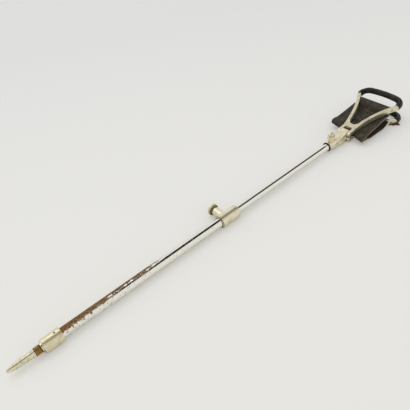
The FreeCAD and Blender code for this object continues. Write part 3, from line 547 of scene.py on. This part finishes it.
def makeGrain(name, tones, stainAt=None, rough=0.5):
    material, tree, hide = newMaterial(name)
    place = millimetres(tree)
    cloud = addNode(tree, "ShaderNodeTexNoise", {
        "Vector": place, "Scale": leather["cloudPerMm"], "Detail": 8.0, "Roughness": 0.74})
    tone = addNode(tree, "ShaderNodeValToRGB", {0: cloud.outputs["Fac"]},
                   stops=list(zip((0.38, 0.5, 0.62), tones)))
    tinge = addNode(tree, "ShaderNodeTexNoise", {
        "Vector": place, "Scale": leather["tingePerMm"], "Detail": 4.0, "Distortion": 0.6})
    brownish = addNode(tree, "ShaderNodeMapRange", {
        "Value": tinge.outputs["Fac"], "From Min": 0.5, "From Max": 0.68, "To Max": 0.7})
    brown = addNode(tree, "ShaderNodeMix", {
        "Factor": brownish.outputs[0], 6: tone.outputs[0], 7: hexColor(leather["brown"])}, data_type="RGBA")
    rub = addNode(tree, "ShaderNodeTexNoise", {
        "Vector": place, "Scale": leather["rubPerMm"], "Detail": 8.0, "Roughness": 0.75})
    rubbed = addNode(tree, "ShaderNodeMapRange", {
        "Value": rub.outputs["Fac"], "From Min": 0.56, "From Max": 0.7, "To Max": 0.6})
    colour = addNode(tree, "ShaderNodeMix", {
        "Factor": rubbed.outputs[0], 6: brown.outputs[2], 7: hexColor(leather["scuff"])}, data_type="RGBA")
    if stainAt:
        away = addNode(tree, "ShaderNodeVectorMath", {0: place, 1: stainAt}, operation="DISTANCE")
        wobble = addNode(tree, "ShaderNodeMapRange", {
            "Value": rub.outputs["Fac"], "To Min": -leather["stainWobble"], "To Max": leather["stainWobble"]})
        near = addNode(tree, "ShaderNodeMath", {0: away.outputs["Value"], 1: wobble.outputs[0]},
                       operation="ADD")
        soaked = addNode(tree, "ShaderNodeMapRange", {
            "Value": near.outputs[0], "From Min": 6.5, "From Max": 1.5, "To Max": 0.85})
        colour = addNode(tree, "ShaderNodeMix", {
            "Factor": soaked.outputs[0], 6: colour.outputs[2], 7: hexColor(leather["stain"])},
            data_type="RGBA")
    pebbles = addNode(tree, "ShaderNodeTexVoronoi", {"Vector": place, "Scale": 1 / leather["pebble"]},
                      feature="DISTANCE_TO_EDGE")
    creases = addNode(tree, "ShaderNodeMapRange", {"Value": pebbles.outputs["Distance"], "From Max": 0.16})
    height = addNode(tree, "ShaderNodeMath", {0: creases.outputs[0], 1: rub.outputs["Fac"], 2: 0.4},
                     operation="MULTIPLY_ADD")
    bump = addNode(tree, "ShaderNodeBump", {
        "Height": height.outputs[0], "Distance": leather["pebbleDepth"], "Strength": 0.5})
    gloss = addNode(tree, "ShaderNodeMapRange", {
        "Value": rub.outputs["Fac"], "From Min": 0.4, "From Max": 0.7, "To Min": rough, "To Max": rough + 0.2})
    tree.links.new(colour.outputs[2], hide.inputs["Base Color"])
    tree.links.new(gloss.outputs[0], hide.inputs["Roughness"])
    tree.links.new(bump.outputs[0], hide.inputs["Normal"])
    hide.inputs["Specular IOR Level"].default_value = 0.35
    return material


# Suede and other fibrous leather: matt, with a short nap that catches a little light
def makeSuede(name, tones):
    material, tree, hide = newMaterial(name)
    place = millimetres(tree)
    nap = addNode(tree, "ShaderNodeTexNoise", {
        "Vector": place, "Scale": leather["napPerMm"], "Detail": 7.0, "Roughness": 0.8})
    tone = addNode(tree, "ShaderNodeValToRGB", {0: nap.outputs["Fac"]}, stops=list(zip((0.35, 0.65), tones)))
    bump = addNode(tree, "ShaderNodeBump", {
        "Height": nap.outputs["Fac"], "Distance": leather["napDepth"], "Strength": 0.5})
    tree.links.new(tone.outputs[0], hide.inputs["Base Color"])
    tree.links.new(bump.outputs[0], hide.inputs["Normal"])
    hide.inputs["Roughness"].default_value = 0.95
    hide.inputs["Sheen Weight"].default_value = 0.15
    return material


stainPlace = onFrame(1, *leather["stainSpot"]) * 1000 + Vector((stick["halfLength"], 0, -stick["axisHeight"]))
grainMaterial = makeGrain("weatheredGrainLeather", leather["grain"], tuple(stainPlace))
gripMaterial = makeGrain("handledGripLeather", leather["handled"], None, 0.34)
suedeMaterial = makeSuede("fleshSideSuede", leather["suede"])
edgeMaterial = makeSuede("cutLeatherEdge", leather["cutEdge"])
threadMaterial = makeSuede("waxedThread", leather["waxed"])
tailMaterial = makeSuede("frayedBrownLeather", leather["frayed"])
print("leather ready")

# Sling: two panels of one strap, folded in a U beside the hub; each runs out under a frame and turns round its bar
sling = {"foldNear": -46.5, "foldFar": 54.5, "foldOutNear": 1.5, "foldOutFar": 23.5, "bulge": 5.5, "bulgeHalf": 19,
         "topHalf": 47.3, "cornerOut": 103.0, "hemOut": 106.8, "barAt": 113, "wrap": 5.4, "armGap": 0.9,
         "dropWeb": 5.15, "dropArm": 7.1, "springs": 1.6, "easeLeast": 1.25, "easeMost": 4.4, "sag": 0.9,
         "ripple": 0.55, "droop": 8.0, "lift": 3.2, "columns": 56, "foldRows": 8, "panelRows": 22, "wrapRows": 13,
         "bendStart": 21, "bendAim": (0.975, -0.22, 0), "bendLength": 0.030, "stitchRows": 4, "rowPitch": 3.1,
         "firstRow": 0.55, "stitch": 2.8, "stitchHalf": 0.5, "stitchShare": 0.42, "raised": 0.1, "margin": 1.2,
         "jitter": 0.15}

# An arm's middle line: an arc about a point beside the frame and short of the pin, then straight on
arm = {"arcAcross": 299.4, "arcShort": 22.2, "arcRadius": 290, "arcEnd": 125, "half": 3.5}


# How far across a frame its arms lie, at a distance out from the pin, on their middle line
def armAcross(out):
    reach = min(out, arm["arcEnd"]) + arm["arcShort"]
    return arm["arcAcross"] - math.sqrt(arm["arcRadius"] ** 2 - reach ** 2)


# Where the fold of the strap lies, for a place across it from -1 to 1
def foldLine(across):
    y = sling["foldNear"] + (sling["foldFar"] - sling["foldNear"]) * (across + 1) / 2
    out = sling["foldOutNear"] + (sling["foldOutFar"] - sling["foldOutNear"]) * (across + 1) / 2
    return out + sling["bulge"] * math.exp(-(y / sling["bulgeHalf"]) ** 2), y


# Distances out and inwards: where the panel turns up to the bar, and the flap from the bar's top to its cut end
slingCorner = [(104.2, 7.1), (105.5, 7.0), (106.8, 6.9), (108.4, 6.6), (110.6, 6.0)]
slingFlap = [(113, -5.4), (110.6, -5.0), (108.2, -3.8), (105.9, -2.0), (103.8, 0.2), (101.9, 2.3), (100.2, 3.9),
             (98.6, 4.7)]
cornerRow = sling["foldRows"] + sling["panelRows"]
wrapRow = cornerRow + len(slingCorner)


# The panel's line seen from the side: distances out and inwards, from the fold to the end of the stitched flap
def slingPath(across):
    foldOut, y = foldLine(across)
    middle = stick["hingeOffset"] + math.tan(math.radians(stick["openAngle"] / 2)) * foldOut
    free = smoothStep(abs(y), 17, 30)  # outside the feet the strap springs apart
    ease = max(sling["easeLeast"], min(middle - sling["dropWeb"] + free * sling["springs"], sling["easeMost"]))
    path = [(foldOut + ease * (1 - math.cos(t)), middle - ease * math.sin(t))
            for t in (math.pi / 2 * step / (sling["foldRows"] - 1) for step in range(sling["foldRows"]))]
    start, drop = path[-1]
    for step in range(1, sling["panelRows"] + 1):
        out = start + (sling["cornerOut"] - start) * step / sling["panelRows"]
        rest = sling["dropWeb"] + (sling["dropArm"] - sling["dropWeb"]) * smoothStep(out, 28, 46)
        sag = sling["sag"] * math.sin(math.pi * smoothStep(out, 40, 100)) * (1 - across ** 2)
        path.append((out, drop + (rest - drop) * smoothStep(out, start, start + 14) + sag))
    bar = sling["barAt"]
    wrap = [(bar + sling["wrap"] * math.sin(t), sling["wrap"] * math.cos(t))
            for t in (math.pi * step / (sling["wrapRows"] - 1) for step in range(sling["wrapRows"]))]
    return path + slingCorner + wrap + slingFlap[1:]


# The hem fills the room between the arms
def hemHalf(out):
    slant = math.asin((min(out, arm["arcEnd"]) + arm["arcShort"]) / arm["arcRadius"])
    return armAcross(out) - arm["half"] / math.cos(slant) - sling["armGap"]


def slingHalfWidth(row, out):
    if row < cornerRow:  # fold and panel
        return None
    if row < wrapRow:
        share = min(1, (out - sling["cornerOut"]) / (sling["hemOut"] - sling["cornerOut"]))
        return sling["topHalf"] + (hemHalf(sling["hemOut"]) - sling["topHalf"]) * max(0, share)
    return hemHalf(out)


def makeSling(name, side, node):
    columns = sling["columns"]
    paths = [slingPath(2 * column / columns - 1) for column in range(columns + 1)]
    rows = len(paths[0])
    shape = bmesh.new()
    bmesh.ops.create_grid(shape, x_segments=columns, y_segments=rows - 1, size=0.5)
    uvLayer = shape.loops.layers.uv.new("strap")
    spots = {}
    for vert in shape.verts:
        column, row = round((vert.co.x + 0.5) * columns), round((vert.co.y + 0.5) * (rows - 1))
        spots[vert.index] = (column, row)
        across = 2 * column / columns - 1
        out, inward = paths[column][row]
        half = slingHalfWidth(row, out)
        if half is None:
            foldY = foldLine(across)[1]
            y = foldY + (across * sling["topHalf"] - foldY) * smoothStep(out, 0, 105)
        else:
            y = across * half
        if row < cornerRow:
            ripple = noise.noise(Vector((out / 26, y / 24, 3.1 * side))) * sling["ripple"] * smoothStep(out, 22, 50)
            inward += abs(ripple)
            # outside the near arm the lower panel droops, and the upper one curls up
            free = (smoothStep(abs(y), armAcross(out) + 4.5, 47.5) * smoothStep(out, 6, 45)
                    * smoothStep(out, 103, 84))
            inward -= free * (sling["droop"] if side < 0 else sling["lift"]) * (y < 0)
        vert.co = onFrame(side, out, y, inward)
    for face in shape.faces:
        for loop in face.loops:
            column, row = spots[loop.vert.index]
            loop[uvLayer].uv = (column / columns, row / (rows - 1))
    bmesh.ops.recalc_face_normals(shape, faces=shape.faces)
    for face in shape.faces:
        row = min(spots[vert.index][1] for vert in face.verts)
        face.material_index = 3 if row > wrapRow else 6 if row == 0 else 0
    middle = min(shape.faces, key=lambda f: (f.calc_center_median() - onFrame(side, 70, 0, 7)).length)
    if middle.normal.z * side < 0:
        bmesh.ops.reverse_faces(shape, faces=shape.faces)
    area = sum(face.calc_area() for face in shape.faces)
    # face, back and rim, in threes: for the panel from 0, for the flap from 3, for the fold's seam from 6
    materials = [grainMaterial, suedeMaterial, edgeMaterial, suedeMaterial, grainMaterial, edgeMaterial,
                 grainMaterial, suedeMaterial, grainMaterial]
    piece = finishPiece(name, shape, materials, None, [node])
    wall = piece.modifiers.new("hide", "SOLIDIFY")
    wall.thickness = leather["thick"] / 1000
    wall.offset = 0
    wall.use_even_offset = True
    wall.material_offset = 1
    wall.material_offset_rim = 2
    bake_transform(piece)


makeSling("upperSling", 1, "upper_sling")
makeSling("lowerSling", -1, "lower_sling")


# Rows of sewing through the flap of the hem, each stitch a bead half sunk in the leather
def makeStitches(name, side, body):
    shape = bmesh.new()
    for row in range(sling["stitchRows"]):
        left = (row + sling["firstRow"]) * sling["rowPitch"]
        for (out, inward), (nextOut, nextInward) in zip(slingFlap, slingFlap[1:]):
            length = math.dist((out, inward), (nextOut, nextInward))
            if left <= length:
                break
            left -= length
        away = leather["thick"] / 2 + sling["raised"]
        spotOut = out + (nextOut - out) * left / length - away * (nextInward - inward) / length
        spotIn = inward + (nextInward - inward) * left / length + away * (nextOut - out) / length
        half = hemHalf(spotOut) - sling["margin"]
        count = round(2 * half / sling["stitch"])
        for number in range(count):
            y = -half + (number + 0.5) * 2 * half / count
            spot = onFrame(side, spotOut + random.uniform(-sling["jitter"], sling["jitter"]), y, spotIn)
            bead = (sling["stitchHalf"], sling["stitch"] * sling["stitchShare"], sling["stitchShare"], 1)
            place = Matrix.Translation(spot) @ Matrix.Diagonal(bead)
            bmesh.ops.create_icosphere(shape, subdivisions=1, radius=0.001, matrix=place)
    finishPiece(name, shape, [threadMaterial], body)


makeStitches("upperStitches", 1, "upper_frame")
makeStitches("lowerStitches", -1, "lower_frame")
print("sling ready")

# Grips: leather wrapped round the handle cores and laced along the inner edge
grip = {"cornerCentre": 131, "cornerRadius": 22, "handleHalf": 51.2, "apex": 155.2, "radius": 6.4,
        "firstTurn": 95, "rings": 150, "sides": 28, "laces": 36, "laceTurn": 42, "laceOut": 0.35,
        "laceSlant": 0.3, "laceHalf": 0.85, "laceReach": 3.0}


def gripLine():
    reach = grip["apex"] - grip["cornerCentre"]
    off = grip["handleHalf"] - grip["cornerRadius"]
    bend = grip["cornerRadius"]
    crown = (reach ** 2 + off ** 2 - bend ** 2) / (2 * (reach - bend))
    centre = grip["apex"] - crown
    meet = math.atan2(off, grip["cornerCentre"] - centre)
    first = math.radians(grip["firstTurn"])
    # each stretch: where it turns about, how far out, its first heading and its last
    return [(grip["cornerCentre"], off, bend, first, meet), (centre, 0, crown, meet, -meet),
            (grip["cornerCentre"], -off, bend, -meet, -first)]


def gripSpot(along):
    stretches = gripLine()
    lengths = [bend * (first - last) for _, _, bend, first, last in stretches]
    along *= sum(lengths)
    for (out, across, bend, first, last), length in zip(stretches, lengths):
        if along <= length or (out, across) == stretches[-1][:2]:
            turn = first - along / bend
            return out + bend * math.cos(turn), across + bend * math.sin(turn), turn
        along -= length


def makeGrip(name, side, body, node):
    shape = bmesh.new()
    bmesh.ops.create_grid(shape, x_segments=grip["sides"], y_segments=grip["rings"], size=0.5)
    for vert in shape.verts:
        around = (vert.co.x + 0.5) * 2 * math.pi
        along = vert.co.y + 0.5
        out, across, turn = gripSpot(min(1, max(0, along)))
        inner = math.cos(around)  # 1 on the side that faces the hand gap
        seam = max(0, inner) ** 10
        scallop = 0.5 + 0.5 * math.cos(2 * math.pi * along * grip["laces"])
        lumps = noise.noise(Vector((along * 30, inner * 2, side * 5)))
        wrap = 0.16 * math.sin(around * 3 + along * 40) + 0.25 * lumps
        ending = smoothStep(abs(along - 0.5), 0.485, 0.5)
        radius = grip["radius"] + seam * (0.2 + 1.7 * scallop) + wrap - 0.5 * ending
        radial = -inner * radius
        vert.co = onFrame(side, out + radial * math.cos(turn), across + radial * math.sin(turn),
                          radius * math.sin(around))
    bmesh.ops.remove_doubles(shape, verts=shape.verts, dist=0.00002)
    bmesh.ops.holes_fill(shape, edges=[e for e in shape.edges if e.is_boundary], sides=0)
    bmesh.ops.recalc_face_normals(shape, faces=shape.faces)
    # the thong comes over the inner edge once for every scallop, and shows on both sides of it
    for number in range(grip["laces"]):
        out, across, turn = gripSpot((number + 0.5) / grip["laces"])
        for face in (-1, 1):
            height = math.radians(grip["laceTurn"]) * face
            reach = grip["radius"] + grip["laceOut"]
            spot = onFrame(side, out - reach * math.cos(height) * math.cos(turn),
                           across - reach * math.cos(height) * math.sin(turn), reach * math.sin(height))
            slant = grip["laceSlant"]
            heading = (onFrame(side, math.sin(height) * math.cos(turn) + slant * math.sin(turn),
                               math.sin(height) * math.sin(turn) - slant * math.cos(turn), math.cos(height))
                       - onFrame(side, 0, 0, 0))
            aim = heading.to_track_quat("Z", "X").to_matrix().to_4x4()
            bead = (grip["laceHalf"], grip["laceHalf"], grip["laceReach"], 1)
            place = Matrix.Translation(spot) @ aim @ Matrix.Diagonal(bead)
            bmesh.ops.create_icosphere(shape, subdivisions=2, radius=0.001, matrix=place)
    finishPiece(name, shape, [gripMaterial], body, [node])


makeGrip("upperGrip", 1, "upper_frame", "upper_grip")
makeGrip("lowerGrip", -1, "lower_frame", "lower_grip")
print("grips ready")

# Frayed scrap of old wrapping, torn along its outer edge
scrap = {"start": 110, "length": 20, "reach": 14, "teeth": 9, "columns": 36, "rows": 10, "gap": 4.1,
         "tuck": 0.4, "inward": -2.4, "dip": 1.4, "thick": 0.0012}


def makeScrap():
    shape = bmesh.new()
    bmesh.ops.create_grid(shape, x_segments=scrap["columns"], y_segments=scrap["rows"], size=0.5)
    for vert in shape.verts:
        along, outward = vert.co.x + 0.5, vert.co.y + 0.5
        out = scrap["start"] + scrap["length"] * along
        inner = armAcross(out) + scrap["gap"]
        torn = 0.55 + 0.45 * noise.noise(Vector((along * scrap["teeth"], 0.3, 7.7)))
        reach = scrap["reach"] * (0.25 + 0.75 * smoothStep(along, 0, 0.7)) * torn
        curl = 1.2 * math.sin(outward * 2.4 + along * 3) + 0.8 * noise.noise(Vector((along * 6, outward * 3, 1.5)))
        vert.co = onFrame(-1, out, -inner - scrap["tuck"] - outward * reach,
                          scrap["inward"] - scrap["dip"] * outward + curl * outward)
    bmesh.ops.solidify(shape, geom=shape.faces[:], thickness=scrap["thick"])
    bmesh.ops.recalc_face_normals(shape, faces=shape.faces)
    finishPiece("frayedScrap", shape, [tailMaterial], "lower_frame", ["grip_tail"])


makeScrap()
print("scrap ready")

# The button's coil spring, merged into its own mesh and riding on the upper shaft; in metres
coil = {"travel": 0.0025, "merge": 0.000001}


def makeButtonSpring():
    shape = bmesh.new()
    shape.from_mesh(nodes["button_spring"].data)
    bmesh.ops.remove_doubles(shape, verts=shape.verts, dist=coil["merge"])
    piece = finishPiece("buttonSpring", shape, [springSteel], "upper_shaft", ["button_spring"])
    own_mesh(piece)


makeButtonSpring()
print("button spring ready")
